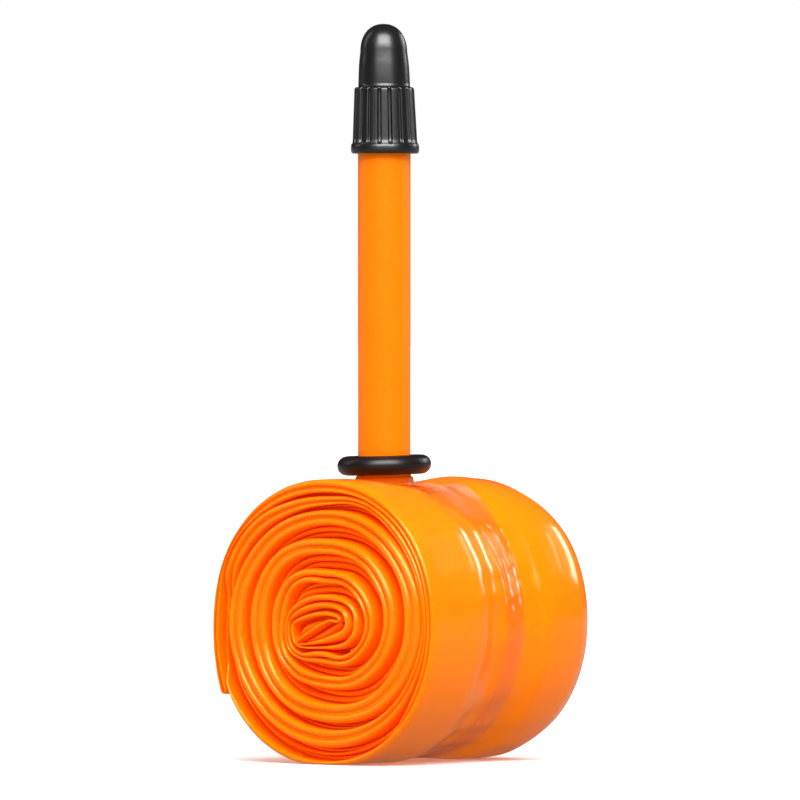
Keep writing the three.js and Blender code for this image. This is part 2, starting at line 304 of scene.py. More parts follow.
# Name, azimuth, elevation, distance, width, height, radiance, roll, and what the lamp gives.
SOFTBOXES = [
    ("key", 42, 42, 640, 220, 170, 16.0, 0, "light"),
    ("gloss", 42, 44, 640, 620, 440, 16.0, 0, "gloss"),
    ("front", 40, 29, 640, 1000, 360, 4.8, 0, "gloss"),
    ("rim_back", 171, 19, 600, 270, 85, 10.0, 38, "gloss"),
    ("rim_crest", 157, 27, 600, 240, 36, 5.0, 38, "gloss"),
    ("rim_left", -70, 30, 600, 120, 420, 2.5, 0, "gloss"),
]
SUN_STRENGTH = 3.2
SUN_ANGLE = math.radians(70)
SUN_PLACE = (62, 60)
# The backdrop for each kind of ray: height of the direction from -1 to 1, then strength.
BACKDROP_LIGHT = [(-0.92, 0.22), (-0.6, 0.90), (-0.1, 1.38), (0.1, 0.74)]
BACKDROP_GLOSS = [(-0.6, 0.02), (-0.35, 0.3), (-0.02, 0.8), (0.01, 0.06)]
BACKDROP_SEEN = [(-0.9, 1.0), (-0.4, 1.0), (0.1, 1.0), (0.9, 1.0)]


# ---------------------------------------------------------------- small tools
def smooth(value, low, high):
    """0 below low, 1 above high, and an even rise between them."""
    t = np.clip((value - low) / (high - low), 0.0, 1.0)
    return t * t * (3 - 2 * t)


def swell(value, start, full, fade, end):
    """0 outside start and end, 1 from full to fade, and an even rise and fall between them."""
    return smooth(value, start, full) * (1 - smooth(value, fade, end))


def curve(at, knots, values):
    """Cubic curve through the values at the knots."""
    knots = np.asarray(knots, float)
    values = np.asarray(values, float)
    slopes = np.gradient(values, knots, axis=0)
    i = np.clip(np.searchsorted(knots, at, side="right") - 1, 0, len(knots) - 2)
    span = (knots[i + 1] - knots[i])[:, None]
    t = (at - knots[i])[:, None] / span
    start = (2 * t**3 - 3 * t**2 + 1) * values[i] + (t**3 - 2 * t**2 + t) * span * slopes[i]
    end = (3 * t**2 - 2 * t**3) * values[i + 1] + (t**3 - t**2) * span * slopes[i + 1]
    return start + end


def waves(at, seed, size):
    """Gentle irregular variation along a run, repeatable from its seed."""
    rng = np.random.default_rng(seed)
    total = np.zeros_like(at)
    for octave in range(1, 6):
        total += np.sin(at * rng.uniform(0.6, 1.4) * octave + rng.uniform(0, 6.28)) / octave
    return size * total / 1.6


def mesh_piece(name, points, faces, body, replaced, material):
    """A smooth mesh from millimetre points, riding on a body in place of its CAD node."""
    mesh = bpy.data.meshes.new(name)
    mesh.from_pydata((np.asarray(points) * MM).tolist(), [], faces)
    mesh.validate()
    mesh.update()
    mesh.shade_smooth()
    mesh.materials.append(material)
    piece = bpy.data.objects.new(name, mesh)
    bpy.context.scene.collection.objects.link(piece)
    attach(piece, body)
    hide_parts(replaced)


def grid_faces(rows, columns, close_rows, close_columns, first=0):
    """Quads over a grid of rows x columns points, numbered row by row from the first."""
    faces = []
    for i in range(rows if close_rows else rows - 1):
        for j in range(columns if close_columns else columns - 1):
            a = first + i * columns + j
            b = first + i * columns + (j + 1) % columns
            c = first + (i + 1) % rows * columns + (j + 1) % columns
            d = first + (i + 1) % rows * columns + j
            faces.append((a, b, c, d))
    return faces


# ---------------------------------------------------------------- shader tools
def new_material(name):
    """An empty node material: itself, its nodes, its links and its output."""
    material = bpy.data.materials.new(name)
    material.use_nodes = True
    nodes = material.node_tree.nodes
    nodes.clear()
    output = nodes.new("ShaderNodeOutputMaterial")
    return material, nodes, material.node_tree.links, output


def noise(nodes, links, coordinates, scale, detail=3.0, stretch=(1, 1, 1)):
    """Noise over the coordinates, which can be scaled along each axis."""
    mapping = nodes.new("ShaderNodeMapping")
    mapping.inputs["Scale"].default_value = stretch
    links.new(coordinates, mapping.inputs["Vector"])
    texture = nodes.new("ShaderNodeTexNoise")
    texture.inputs["Scale"].default_value = scale
    texture.inputs["Detail"].default_value = detail
    links.new(mapping.outputs["Vector"], texture.inputs["Vector"])
    return texture.outputs["Fac"]


def ramp(nodes, links, value, stops):
    """Colour between the stops, by the value."""
    node = nodes.new("ShaderNodeValToRGB")
    elements = node.color_ramp.elements
    while len(elements) < len(stops):
        elements.new(0.5)
    for element, (position, color) in zip(elements, stops):
        element.position = position
        element.color = (*color, 1)
    links.new(value, node.inputs["Fac"])
    return node.outputs["Color"]


def bump(nodes, links, height, distance):
    """Surface direction over bumps of that many millimetres."""
    node = nodes.new("ShaderNodeBump")
    node.inputs["Distance"].default_value = distance * MM
    node.inputs["Strength"].default_value = 1.0
    links.new(height, node.inputs["Height"])
    return node.outputs["Normal"]


def map_range(nodes, links, value, source, target):
    """The value, moved from one range to another and held inside it."""
    node = nodes.new("ShaderNodeMapRange")
    for socket, number in zip(("From Min", "From Max", "To Min", "To Max"), (*source, *target)):
        node.inputs[socket].default_value = number
    links.new(value, node.inputs["Value"])
    return node.outputs["Result"]


def mix_shaders(nodes, links, share, first, second):
    """The first shader, with that share of the second."""
    node = nodes.new("ShaderNodeMixShader")
    links.new(share, node.inputs["Fac"])
    links.new(first, node.inputs[1])
    links.new(second, node.inputs[2])
    return node.outputs["Shader"]


def surface(name, stops, color_scale, bump_scale, bump_size, roughness, settings):
    """A procedural finish: noise drives the colour between the stops, the roughness and a fine bump."""
    material, nodes, links, output = new_material(name)
    shader = nodes.new("ShaderNodeBsdfPrincipled")
    links.new(shader.outputs["BSDF"], output.inputs["Surface"])
    where = nodes.new("ShaderNodeTexCoord").outputs["Object"]
    tint = noise(nodes, links, where, color_scale)
    links.new(ramp(nodes, links, tint, stops), shader.inputs["Base Color"])
    links.new(map_range(nodes, links, tint, (0, 1), roughness), shader.inputs["Roughness"])
    grain = noise(nodes, links, where, bump_scale, 4.0)
    links.new(bump(nodes, links, grain, bump_size), shader.inputs["Normal"])
    for socket, value in settings.items():
        shader.inputs[socket].default_value = value
    return material


def film_material():
    """Thin glossy orange film. Its weak emission stands in for light through the layers."""
    return surface(
        "orange_film",
        [(0.3, (0.985, 0.192, 0.001)), (0.7, (0.99, 0.206, 0.001))],
        160, 420, 0.012, (0.13, 0.17),
        {
            "Subsurface Weight": 0.4,
            "Subsurface Radius": (1.0, 0.25, 0.03),
            "Subsurface Scale": 0.0013,
            "IOR": 1.46,
            "Specular IOR Level": 0.36,
            "Specular Tint": (1.0, 0.80, 0.38, 1),
            "Emission Color": (1.0, 0.045, 0.0, 1),
            "Emission Strength": 0.08,
        },
    )


def stem_material():
    """Satin orange moulding."""
    return surface(
        "orange_moulding",
        [(0.3, (0.96, 0.172, 0.001)), (0.7, (0.97, 0.182, 0.001))],
        160, 900, 0.01, (0.33, 0.42),
        {
            "Subsurface Weight": 0.3,
            "Subsurface Radius": (1.0, 0.35, 0.05),
            "Subsurface Scale": 0.0015,
            "IOR": 1.46,
            "Specular IOR Level": 0.15,
            "Specular Tint": (1.0, 0.5, 0.15, 1),
        },
    )


def cap_material():
    """Satin black moulding."""
    return surface(
        "black_moulding",
        [(0.3, (0.004, 0.004, 0.004)), (0.7, (0.007, 0.007, 0.007))],
        120, 1400, 0.010, (0.28, 0.33),
        {"IOR": 1.5, "Specular IOR Level": 0.42},
    )


def ring_material():
    """Smooth rubber, a warm black."""
    return surface(
        "black_rubber",
        [(0.3, (0.007, 0.004, 0.004)), (0.7, (0.010, 0.006, 0.006))],
        150, 1100, 0.01, (0.30, 0.36),
        {"IOR": 1.5, "Specular IOR Level": 0.22},
    )


def seal_material():
    """Matt black rubber."""
    return surface(
        "seal_rubber",
        [(0.3, (0.018, 0.018, 0.018)), (0.7, (0.028, 0.028, 0.028))],
        300, 1800, 0.02, (0.55, 0.7),
        {"IOR": 1.5},
    )


def brass_material():
    """Turned brass."""
    return surface(
        "turned_brass",
        [(0.3, (0.62, 0.42, 0.15)), (0.7, (0.74, 0.53, 0.22))],
        240, 2600, 0.006, (0.2, 0.34),
        {"Metallic": 1.0},
    )


def strap_material():
    """Clear film: see-through, glossy on its creases, with a pinkish haze where it bunches at the top;
    that haze is partly milky bunched film and partly a painted reflection of the light the top catches.
    """
    material, nodes, links, output = new_material("clear_film")
    where = nodes.new("ShaderNodeTexCoord").outputs["Object"]
    normal = bump(nodes, links, noise(nodes, links, where, 420, 2.0, (1, 0.6, 1)), 0.035)
    gloss = nodes.new("ShaderNodeBsdfGlossy")
    gloss.inputs["Roughness"].default_value = 0.16
    tint = noise(nodes, links, where, 260, 3.0, (1, 0.25, 1))
    stops = [(0.3, (1.0, 0.86, 0.76)), (0.7, (1.0, 0.93, 0.86))]
    links.new(ramp(nodes, links, tint, stops), gloss.inputs["Color"])
    links.new(normal, gloss.inputs["Normal"])
    clear = nodes.new("ShaderNodeBsdfTransparent")
    clear.inputs["Color"].default_value = (0.95, 0.87, 0.82, 1)
    edge = nodes.new("ShaderNodeLayerWeight")
    edge.inputs["Blend"].default_value = 0.22
    links.new(normal, edge.inputs["Normal"])
    cover = map_range(nodes, links, edge.outputs["Facing"], (0, 1), (0.035, 0.2))
    film = mix_shaders(nodes, links, cover, clear.outputs["BSDF"], gloss.outputs["BSDF"])
    # Pinkish diffuse colour towards the top of the strap: partly milky bunched film, partly a painted
    # reflection of light.
    height = nodes.new("ShaderNodeSeparateXYZ")
    links.new(where, height.inputs["Vector"])
    heights = [value * MM for value in HAZE_AND_SHEEN_HEIGHTS]
    haze_and_sheen_top = map_range(nodes, links, height.outputs["Z"], heights, (0, HAZE_AND_SHEEN_MOST))
    streaks = noise(nodes, links, where, 300, 2.0, (0.3, 1, 1))
    share = nodes.new("ShaderNodeMath")
    share.operation = "MULTIPLY"
    links.new(haze_and_sheen_top, share.inputs[0])
    links.new(map_range(nodes, links, streaks, (0.35, 0.62), (0.15, 1)), share.inputs[1])
    haze_and_sheen = nodes.new("ShaderNodeBsdfDiffuse")
    haze_and_sheen.inputs["Color"].default_value = (0.95, 0.42, 0.26, 1)
    hazy_and_sheen = mix_shaders(nodes, links, share.outputs["Value"], film, haze_and_sheen.outputs["BSDF"])
    links.new(hazy_and_sheen, output.inputs["Surface"])
    return material


def table_material():
    """Pale and matt, and less bright in reflections than to the eye."""
    material = surface(
        "pale_table",
        [(0.3, (0.955, 0.955, 0.955)), (0.7, (0.965, 0.965, 0.965))],
        8, 300, 0.01, (0.6, 0.7),
        {"Specular IOR Level": 0.0, "Emission Color": (1, 1, 1, 1), "Emission Strength": 0.1},
    )
    nodes = material.node_tree.nodes
    links = material.node_tree.links
    shader = next(node for node in nodes if node.type == "BSDF_PRINCIPLED")
    direct = shader.inputs["Base Color"].links[0].from_socket
    mirrored = nodes.new("ShaderNodeMix")
    mirrored.data_type = "RGBA"
    mirrored.inputs[7].default_value = (0.24, 0.24, 0.24, 1)
    links.new(nodes.new("ShaderNodeLightPath").outputs["Is Glossy Ray"], mirrored.inputs[0])
    links.new(direct, mirrored.inputs[6])
    links.new(mirrored.outputs[2], shader.inputs["Base Color"])
    return material


# ---------------------------------------------------------------- the roll
def wrap_turns():
    """Where each row of WRAPS lies along the strip, in turns from its tip."""
    return np.array([turn + (angle - TIP_ANGLE) % 360 / 360 for turn, angle, *_ in WRAPS])


def wraps_at(along):
    """Outer radius, outer film pair, space between and inner film pair, at places along the strip."""
    return curve(along, wrap_turns(), [wrap[2:] for wrap in WRAPS]).T


def outward_at(along):
    """Direction away from the roll's axis, at places along the strip."""
    angle = np.radians(TIP_ANGLE + 360 * along)
    return np.stack([np.sin(angle), np.cos(angle)], -1)


def inner_course(place, last):
    """How far along the film the inner pair lies beside the outer pair at that place."""
    return 2 * last + HEART_COURSE - place


def heart_run(outer_run, inner_run):
    """The fold at the heart, carried on from the outer pair and into the inner pair."""
    points = np.vstack([
        outer_run[-HEART_LEAD], outer_run[-1], HEART, inner_run[-1], inner_run[-HEART_LEAD]])
    steps = np.sqrt(np.linalg.norm(np.diff(points[:, :2], axis=0), axis=1))
    knots = np.concatenate([[0], np.cumsum(steps)])
    return curve(np.linspace(knots[1], knots[-2], HEART_STATIONS), knots, points)[1:-1]


def tip_run(outer_start, inner_start, outward):
    """The U-turn at the strip's tip, from the inner pair round to the outer pair."""
    middle = (outer_start + inner_start) / 2
    reach = (outer_start[:2] - inner_start[:2]) / 2
    back = np.array([-outward[1], outward[0]]) * np.linalg.norm(reach)
    turn = np.linspace(0, math.pi, TIP_STATIONS + 2)[1:-1]
    centre = middle[:2] - np.outer(np.cos(turn), reach) + np.outer(np.sin(turn), back)
    return np.column_stack([centre, np.full(TIP_STATIONS, middle[2])])


def film_ring():
    """Stations along the closed film ring: across, up and thickness, then its run, place and course.

    The run is 0 for the outer film pair, 1 for the inner pair and the tip, and 2 for the heart.
    """
    last = wrap_turns()[-1]
    along = np.linspace(0, last, RUN_STATIONS)
    radius, outer, gap, inner = wraps_at(along)
    outward = outward_at(along)
    outer_run = np.column_stack([(radius - outer / 2)[:, None] * outward, outer])
    inner_run = np.column_stack([(radius - outer - gap - inner / 2)[:, None] * outward, inner])
    heart = heart_run(outer_run, inner_run)
    tip = tip_run(outer_run[0], inner_run[0], outward[0])
    ring = np.vstack([outer_run, heart, inner_run[::-1], tip])
    run = np.repeat([0, 2, 1, 1], [RUN_STATIONS, len(heart), RUN_STATIONS, TIP_STATIONS])
    place = np.concatenate([along, np.full(len(heart), last), along[::-1], np.zeros(TIP_STATIONS)])
    course = np.concatenate([
        along, last + np.linspace(0, HEART_COURSE, len(heart)),
        inner_course(along[::-1], last), np.full(TIP_STATIONS, inner_course(0, last))])
    return ring, run, place, course


def fold_front(run, place, course):
    """Where the film's folded edge lies along the roll's axis, at each station."""
    ragged = waves(course * 9, 11, FRONT_RAGGED) * smooth(place, *FRONT_RAGGED_PLACE)
    front = ROLL_FRONT + FRONT_INSET + ragged * np.where(run == 2, FRONT_RAGGED_HEART, 1.0)
    front += np.where(run == 1, CRESCENT_DEPTH * swell(place, *CRESCENT_PLACE), 0)
    front += np.where(run == 0, PINCH_DEPTH * swell(place, *PINCH_PLACE), 0)
    return front


def settle(x, y, z):
    """The roll's own shape: strap's waist, seat under the valve, slack ends and the flat it rests on."""
    share = np.clip(np.hypot(x, z) / ROLL_RADIUS, 0, 1.1)
    rise = smooth(y - WAIST_Y, *WAIST_BACK) + smooth(WAIST_Y - y, *WAIST_FRONT)
    waist = WAIST_DEPTH * (1 - rise)
    end = np.clip((y - (ROLL_BACK - BACK_SPAN)) / BACK_SPAN, 0, 1)
    slack = BACK_DROP * (1 - (1 - end**BACK_CURVE * BACK_ROUNDING) ** (1 / BACK_CURVE))
    edge = np.clip((ROLL_FRONT + LIP_SPAN - y) / LIP_SPAN, 0, 1)
    lip = LIP_DROP * (1 - np.sqrt(1 - edge**2 * LIP_ROUNDING))
    shrink = 1 - (waist + slack + lip) / ROLL_RADIUS
    x = x * shrink
    z = z * shrink
    top = np.sqrt(np.clip((ROLL_RADIUS * shrink) ** 2 - x**2, 0, None))
    away = np.hypot(x - VALVE_X, y - VALVE_Y)
    press = 1 - smooth(away, SEAT_RADIUS, SEAT_REACH)
    drop = np.clip(top - (SEAT_Z - ROLL_AXIS_Z), 0, None)
    z = z - press * drop * share**2 * (z > 0)
    rest = -ROLL_AXIS_Z + REST_GAP
    return x, rest + REST_SOFTNESS * np.logaddexp(0, (z - rest) / REST_SOFTNESS)


def creases(x, y, z):
    """Dents and folds that the strap pulls into the outer turns: how far to move outwards."""
    turn = np.arctan2(x, z) % (2 * math.pi)
    near = np.exp(-((y - WAIST_Y) / SKIN_REACH) ** 2)
    folds = np.sin(turn * SKIN_FOLDS + 1.3 * np.sin(turn * 5) + y * 0.22)
    slack = np.sin(turn * 3 + y * 0.35)
    lines = np.sin(y * 2.1 + 0.8 * np.sin(turn * 3)) * smooth(y, *BACK_LINES_FROM)
    moved = (SKIN_FOLD_SIZE * folds + SKIN_SLACK_SIZE * slack) * near + BACK_LINES_SIZE * lines
    for depth, angle, angle_spread, place, place_spread in DENTS:
        across = (np.degrees(turn) - angle) / angle_spread
        along = (y - place) / place_spread
        moved = moved - depth * np.exp(-across**2 - along**2)
    return moved


def film_section(half, front, back):
    """Edge-on outline of the flattened film: two folded edges and two flat sides."""
    fold = np.linspace(-math.pi / 2, math.pi / 2, FOLD_STEPS)
    flat = np.linspace(0, 1, SIDE_STEPS + 2)[1:-1]
    depth = np.minimum(half * FOLD_SHARE + FOLD_EXTRA, FOLD_DEEPEST)[:, None]
    front = front[:, None]
    back = back[:, None]
    half = half[:, None]
    span = back - front - 2 * depth
    y = np.hstack([
        front + depth * (1 - np.cos(fold)), front + depth + span * flat,
        back - depth * (1 - np.cos(fold)), back - depth - span * flat,
    ])
    offset = np.hstack([
        half * np.sin(fold), half + 0 * flat, -half * np.sin(fold), -half + 0 * flat])
    return y, offset


def turn_pleats():
    """Two runs of film between one turn and the next, and a web between each turn's two film pairs."""
    last = wrap_turns()[-1]
    along = np.linspace(PLEAT_START, last - 1.0, PLEAT_STATIONS)
    radius, outer, gap, inner = wraps_at(along)
    lower = wraps_at(along + 1)[0]
    room = np.clip(radius - outer - gap - inner - lower, 0, None)
    outward = outward_at(along)
    runs = []
    for side, (place, recess) in enumerate(zip(PLEAT_PLACE, PLEAT_RECESS)):
        middle = lower + room * place
        thickness = np.clip(room * PLEAT_SHARE, PLEAT_THINNEST, None)
        front = ROLL_FRONT + recess + waves(along * 7, 21 + side, PLEAT_RAGGED)
        front += PLEAT_TIGHT_RECESS * (1 - smooth(room, *PLEAT_TIGHT))
        runs.append((np.column_stack([middle[:, None] * outward, thickness]), front, 0))
    outer_front = fold_front(np.zeros(len(along)), along, along)
    inner_front = fold_front(np.ones(len(along)), along, inner_course(along, last))
    middle = radius - outer - gap / 2
    thickness = np.clip(np.minimum(outer, inner) * WEB_SHARE, PLEAT_THINNEST, None)
    front = np.maximum(outer_front, inner_front) + WEB_RECESS
    runs.append((np.column_stack([middle[:, None] * outward, thickness]), front, 0))
    return runs


def heart_pleats():
    """Runs of film that fill the hollows at the heart."""
    runs = []
    for front_recess, back_recess, points in HEART_PLEATS:
        knots = np.arange(len(points))
        strip = curve(np.linspace(0, knots[-1], HEART_PLEAT_STATIONS), knots, points)
        front = np.full(HEART_PLEAT_STATIONS, ROLL_FRONT + front_recess)
        runs.append((strip, front, back_recess))
    return runs


def film_points(strip, front, recess, closed):
    """Section points of a run of flattened film, settled in the roll. The recess is at the back end."""
    centre = strip[:, :2]
    tangent = np.gradient(centre, axis=0)
    if closed:
        tangent = np.roll(centre, -1, 0) - np.roll(centre, 1, 0)
    tangent /= np.linalg.norm(tangent, axis=1)[:, None]
    normal = np.stack([-tangent[:, 1], tangent[:, 0]], -1)
    half = np.clip(strip[:, 2] / 2 - LAYER_PLAY, THINNEST_HALF, None)
    distance = np.cumsum(np.linalg.norm(centre - np.roll(centre, 1, 0), axis=1))
    back = ROLL_BACK - BACK_INSET - recess - BACK_RAGGED * np.abs(waves(distance * 0.11, 5, 1.0))
    y, offset = film_section(half, front, back)
    x = centre[:, :1] + normal[:, :1] * offset
    z = centre[:, 1:] + normal[:, 1:] * offset
    radius = np.hypot(x, z)
    scale = 1 + smooth(radius, *SKIN_RADII) * creases(x, y, z) / np.maximum(radius, 1)
    x, z = settle(x * scale, y, z * scale)
    return np.stack([x, y, z + ROLL_AXIS_Z], -1)


def tube_roll(material):
    """The whole tube: its closed film ring, and the pleats and webs between the layers."""
    ring, run, place, course = film_ring()
    rows = film_points(ring, fold_front(run, place, course), 0, True)
    faces = grid_faces(*rows.shape[:2], True, True)
    points = [rows.reshape(-1, 3)]
    start = len(points[0])
    for strip, front, recess in turn_pleats() + heart_pleats():
        rows = film_points(strip, front, recess, False)
        stations, columns = rows.shape[:2]
        faces += grid_faces(stations, columns, False, True, start)
        faces.append(tuple(range(start, start + columns)))
        start += stations * columns
        faces.append(tuple(range(start - 1, start - 1 - columns, -1)))
        points.append(rows.reshape(-1, 3))
    mesh_piece("tube_roll_film", np.vstack(points), faces, "tube", "tube_roll", material)


# ---------------------------------------------------------------- the strap
def strap_rows():
    """The strap's loop, from the eyelet down one side, under the roll and up the other."""
    degrees = np.linspace(*STRAP_ENDS, STRAP_ROWS)
    angle = np.radians(degrees)
    across = np.linspace(-1, 1, STRAP_COLUMNS)
    pleated = swell(degrees, *STRAP_PLEATED_ANGLES)
    width = STRAP_WIDTH + (STRAP_PLEATED_WIDTH - STRAP_WIDTH) * pleated
    width += STRAP_LOW_EXTRA * swell(degrees, *STRAP_LOW_ANGLES)
    width += STRAP_TOP_EXTRA * (1 - smooth(degrees, *STRAP_TOP_ANGLES))
    middle = WAIST_Y + STRAP_SWAY * np.sin(angle * 3)
    y = middle[:, None] + across * width[:, None] / 2
    pleat = STRAP_PLEAT_SIZE * np.cos(across * 7.5 + 0.4 * np.sin(angle * 4)[:, None])
    pleat = pleat * (0.25 + 0.75 * pleated[:, None])
    wrinkle = STRAP_WRINKLE_SIZE * np.sin(degrees * 0.9)[:, None] * np.cos(across * 3.0)
    x = STRAP_RADIUS * np.sin(angle)[:, None] + 0 * y
    z = STRAP_RADIUS * np.cos(angle)[:, None] + 0 * y
    x, z = settle(x, y, z)
    scale = 1 + (STRAP_LIFT + pleat + wrinkle) / np.hypot(x, z)
    x = x * scale
    z = z * scale
    height = z + ROLL_AXIS_Z
    over = 1 - smooth(np.hypot(x - VALVE_X, y - VALVE_Y), *EYELET_SLOPE)
    covered = height + over * np.clip(EYELET_Z + EYELET_COVER - height, 0, None)
    height = np.where(z > 0, covered, height)
    return np.stack([x, y, np.maximum(height, STRAP_REST_Z)], -1)


def eyelet_rows():
    """The ring of strap round the valve's foot."""
    rows, columns = EYELET_GRID
    turn = np.linspace(0, 2 * math.pi, columns, endpoint=False)
    reach = np.linspace(FOOT_RADIUS + EYELET_CLEARANCE, EYELET_RADIUS, rows)[:, None]
    x = VALVE_X + reach * np.sin(turn)
    y = VALVE_Y + reach * np.cos(turn)
    z = EYELET_Z + EYELET_WAVE * np.sin(turn * 3) * (reach - FOOT_RADIUS)
    return np.stack([x, y, z], -1)


def clear_strap(material):
    """The strap's loop and its eyelet."""
    loop = strap_rows()
    eyelet = eyelet_rows()
    faces = grid_faces(*loop.shape[:2], False, False)
    faces += grid_faces(*eyelet.shape[:2], False, True, loop.shape[0] * loop.shape[1])
    points = np.vstack([loop.reshape(-1, 3), eyelet.reshape(-1, 3)])
    mesh_piece("clear_strap_film", points, faces, "tube", "clear_strap", material)


# ---------------------------------------------------------------- turned and moulded pieces
def rounded(corners, radius, steps=4):
    """An outline with its corners rounded off."""
    corners = np.asarray(corners, float)
    points = []
    for i, corner in enumerate(corners):
        before = corners[i - 1] - corner
        after = corners[(i + 1) % len(corners)] - corner
        cut = min(radius, np.linalg.norm(before) / 2.2, np.linalg.norm(after) / 2.2)
        start = corner + before / np.linalg.norm(before) * cut
        end = corner + after / np.linalg.norm(after) * cut
        for t in np.linspace(0, 1, steps + 1):
            points.append((1 - t) ** 2 * start + 2 * t * (1 - t) * corner + t**2 * end)
    return np.array(points)


def valve_stem(material):
    """The moulded stem with its foot, its flange and the socket for the metal sleeve."""
    corners = [
        (STEM_BORE, FLANGE_Z), (FLANGE_RADIUS, FLANGE_Z), (FLANGE_RADIUS, FLANGE_Z + FLANGE_EDGE),
        (FOOT_BOTTOM_RADIUS, FLANGE_Z + FOOT_BOTTOM), (FOOT_RADIUS, FLANGE_Z + FOOT_TOP),
        (STEM_RADIUS, FLANGE_Z + FOOT_TAPER_TOP), (STEM_RADIUS, STEM_TOP), (SOCKET_RADIUS, STEM_TOP),
        (SOCKET_RADIUS, SOCKET_FLOOR), (STEM_BORE, SOCKET_FLOOR),
    ]
    outline = rounded(corners, EDGE_ROUNDING)
    turn = np.linspace(0, 2 * math.pi, STEM_STEPS, endpoint=False)
    x = VALVE_X + outline[:, :1] * np.sin(turn)
    y = VALVE_Y + outline[:, :1] * np.cos(turn)
    points = np.stack([x, y, outline[:, 1:] + 0 * x], -1)
    faces = grid_faces(*points.shape[:2], True, True)
    points = points.reshape(-1, 3)
    mesh_piece("valve_stem_moulding", points, faces, "tube", "valve_stem", material)


def cap_outline():
    """Outer side from the rim to the crown: height, radius, and how deep the ribs are there."""
    rim = CAP_RIM_RADIUS
    top = CAP_RIM_TOP
    rows = [
        (0.02, rim - 0.45, 0), (0, rim - 0.3, 0), (0.05, rim - 0.12, 0), (0.2, rim - 0.02, 0),
        (0.45, rim, 0), (0.8, rim, 0), (top - 0.2, rim - 0.03, 0), (top - 0.06, rim - 0.11, 0.15),
        (top, CAP_SKIRT_RADIUS + 0.02, 0.8),
    ]
    bend_from = CAP_SHOULDER - CAP_SHOULDER_DROP
    for t in np.linspace(0, 1, CAP_SKIRT_ROWS + 1)[1:]:
        rows.append((top + t * (bend_from - top), CAP_SKIRT_RADIUS - CAP_SKIRT_TAPER * t, 1))
    step = CAP_SKIRT_RADIUS - CAP_SKIRT_TAPER - CAP_DOME_RADIUS
    for t in np.linspace(0, 1, CAP_SHOULDER_ROWS + 1)[1:]:
        bend = t * math.pi / 2
        radius = CAP_DOME_RADIUS + step * math.cos(bend) ** CAP_SHOULDER_POWER
        rows.append((bend_from + CAP_SHOULDER_DROP * math.sin(bend), radius, 1 - t))
    rows += [(height, radius, 0) for height, radius in CAP_DOME]
    up, across = CAP_CROWN_POWERS
    for t in np.linspace(0, 1, CAP_CROWN_ROWS + 1)[1:]:
        bend = t * math.pi / 2
        height = CAP_CROWN + (CAP_HEIGHT - CAP_CROWN) * math.sin(bend) ** up
        rows.append((height, CAP_CROWN_RADIUS * math.cos(bend) ** across, 0))
    return rows


def valve_cap(material):
    """The cap as one shell: hollow inside, rolled rim, ribbed skirt and domed top."""
    rows = np.array([(height, radius, 0) for height, radius in CAP_HOLLOW] + cap_outline())
    steps = CAP_RIBS * CAP_RIB_STEPS
    turn = np.linspace(0, 2 * math.pi, steps, endpoint=False)
    pitch = turn * CAP_RIBS / (2 * math.pi) % 1
    groove = 1 - smooth(np.abs(pitch - 0.5), *CAP_GROOVE)
    radius = np.maximum(rows[:, 1:2] - CAP_RIB_DEPTH * rows[:, 2:3] * groove, CAP_TIP_RADIUS)
    height = rows[:, :1] + 0 * turn
    lean = (height - CAP_HEIGHT / 2) * math.tan(CAP_TILT)
    x = VALVE_X + radius * np.sin(turn) - lean * math.cos(VIEW_AZIMUTH)
    y = VALVE_Y + radius * np.cos(turn) - lean * math.sin(VIEW_AZIMUTH)
    points = np.stack([x, y, CAP_BOTTOM + height], -1).reshape(-1, 3)
    faces = grid_faces(len(rows), steps, False, True)
    faces.append(tuple(range(steps)))
    faces.append(tuple(range(len(points) - 1, len(points) - 1 - steps, -1)))
    mesh_piece("ribbed_cap", points, faces, "cap", "valve_cap", material)


def rim_ring(material):
    """Rubber ring on the stem's foot, a little out of level."""
    around_steps, section_steps = RING_STEPS
    section = np.linspace(0, 2 * math.pi, section_steps, endpoint=False)
    around = np.linspace(0, 2 * math.pi, around_steps, endpoint=False)
    radius = RING_RADIUS + RING_SECTION * np.cos(section)
    x = np.outer(np.sin(around), radius)
    y = np.outer(np.cos(around), radius)
    tilt = (x * math.cos(VIEW_AZIMUTH) + y * math.sin(VIEW_AZIMUTH)) * math.tan(RING_TILT)
    z = RING_Z + RING_SECTION * np.sin(section) + tilt
    points = np.stack([VALVE_X + x, VALVE_Y + y, z], -1).reshape(-1, 3)
    faces = grid_faces(around_steps, section_steps, True, True)
    mesh_piece("rim_ring", points, faces, "o_ring", "stem_o_ring", material)


# ---------------------------------------------------------------- studio
def toward(azimuth, elevation, distance):
    """A point at that azimuth and elevation in degrees, seen from the object."""
    azimuth = math.radians(azimuth)
    elevation = math.radians(elevation)
    flat = distance * math.cos(elevation)
    return Vector((flat * math.sin(azimuth), -flat * math.cos(azimuth), distance * math.sin(elevation)))


def softbox(name, azimuth, elevation, distance, width, height, radiance, roll, gives):
    """A rectangular lamp aimed at the object, which gives it either light or gloss."""
    light = bpy.data.lights.new(name, "AREA")
    light.shape = "RECTANGLE"
    light.size = width * MM
    light.size_y = height * MM
    light.energy = radiance * math.pi * light.size * light.size_y
    lamp = bpy.data.objects.new(name, light)
    bpy.context.scene.collection.objects.link(lamp)
    aim = Vector((0, 0, LIGHT_AIM_Z))
    lamp.location = (aim + toward(azimuth, elevation, distance)) * MM
    facing = (aim * MM - lamp.location).to_track_quat("-Z", "Y")
    lamp.rotation_euler = (facing @ Quaternion((0, 0, 1), math.radians(roll))).to_euler()
    lamp.visible_camera = False
    lamp.visible_diffuse = gives == "light"
    lamp.visible_glossy = gives == "gloss"


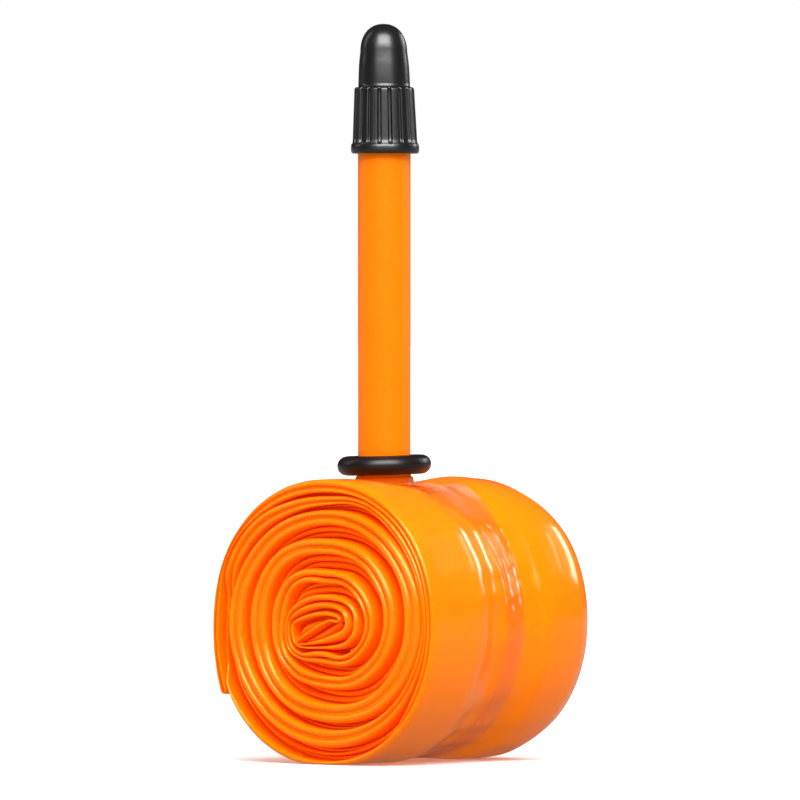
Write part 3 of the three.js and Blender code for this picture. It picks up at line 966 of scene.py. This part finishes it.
def lights():
    """The softboxes, and a broad even light from above."""
    for values in SOFTBOXES:
        softbox(*values)
    sun = bpy.data.lights.new("overhead", "SUN")
    sun.energy = SUN_STRENGTH
    sun.angle = SUN_ANGLE
    lamp = bpy.data.objects.new("overhead", sun)
    bpy.context.scene.collection.objects.link(lamp)
    lamp.rotation_euler = (-toward(*SUN_PLACE, 1)).to_track_quat("-Z", "Y").to_euler()
    lamp.visible_glossy = False


def floor():
    """Pale tabletop, running out past the picture."""
    reach = FLOOR_REACH * MM
    mesh = bpy.data.meshes.new("floor")
    corners = [(-reach, -reach, 0), (reach, -reach, 0), (reach, reach, 0), (-reach, reach, 0)]
    mesh.from_pydata(corners, [], [(0, 1, 2, 3)])
    mesh.materials.append(table_material())
    table = bpy.data.objects.new("floor", mesh)
    bpy.context.scene.collection.objects.link(table)
    table.visible_diffuse = False


def backdrop(nodes, links, stops):
    """A backdrop that changes with how far up or down it is seen."""
    split = nodes.new("ShaderNodeSeparateXYZ")
    links.new(nodes.new("ShaderNodeTexCoord").outputs["Generated"], split.inputs["Vector"])
    place = map_range(nodes, links, split.outputs["Z"], (-1, 1), (0, 1))
    shades = [((height + 1) / 2, (strength,) * 3) for height, strength in stops]
    shader = nodes.new("ShaderNodeBackground")
    links.new(ramp(nodes, links, place, shades), shader.inputs["Color"])
    shader.inputs["Strength"].default_value = 1.0
    return shader.outputs["Background"]


def world():
    """Pale to the camera, graded as light, and dark above the horizon in reflections."""
    studio = bpy.data.worlds.new("studio")
    bpy.context.scene.world = studio
    studio.use_nodes = True
    nodes = studio.node_tree.nodes
    links = studio.node_tree.links
    nodes.clear()
    rays = nodes.new("ShaderNodeLightPath").outputs
    shader = backdrop(nodes, links, BACKDROP_LIGHT)
    for ray, stops in (("Is Glossy Ray", BACKDROP_GLOSS), ("Is Camera Ray", BACKDROP_SEEN)):
        shader = mix_shaders(nodes, links, rays[ray], shader, backdrop(nodes, links, stops))
    links.new(shader, nodes.new("ShaderNodeOutputWorld").inputs["Surface"])


def camera():
    """The photograph's view: from the front right, a little above the middle."""
    right = Vector((math.cos(VIEW_AZIMUTH), math.sin(VIEW_AZIMUTH), 0))
    ahead = Vector((-math.sin(VIEW_AZIMUTH), math.cos(VIEW_AZIMUTH), 0))
    aim = Vector((0, 0, AIM_Z)) + right * AIM_RIGHT
    spot = aim - ahead * CAMERA_DISTANCE
    spot.z = CAMERA_Z
    data = bpy.data.cameras.new("camera")
    data.sensor_width = SENSOR
    data.lens = LENS
    data.clip_start, data.clip_end = (value * MM for value in CAMERA_CLIP)
    eye = bpy.data.objects.new("camera", data)
    bpy.context.scene.collection.objects.link(eye)
    eye.location = spot * MM
    eye.rotation_euler = (aim - spot).to_track_quat("-Z", "Y").to_euler()
    bpy.context.scene.camera = eye


# ---------------------------------------------------------------- build
def dress_cad_nodes():
    """Hidden metal and rubber parts keep their CAD shapes under better finishes."""
    finishes = {
        brass_material(): ("core_insert", "valve_core", "valve_pin", "lock_nut"),
        seal_material(): ("core_gasket", "pin_seal"),
    }
    for material, names in finishes.items():
        for name in names:
            data = frame["nodes"][name].data
            data.materials.clear()
            data.materials.append(material)


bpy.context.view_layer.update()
dress_cad_nodes()
tube_roll(film_material())
clear_strap(strap_material())
valve_stem(stem_material())
valve_cap(cap_material())
rim_ring(ring_material())
floor()
world()
lights()
camera()
bpy.context.scene.view_settings.view_transform = "Standard"
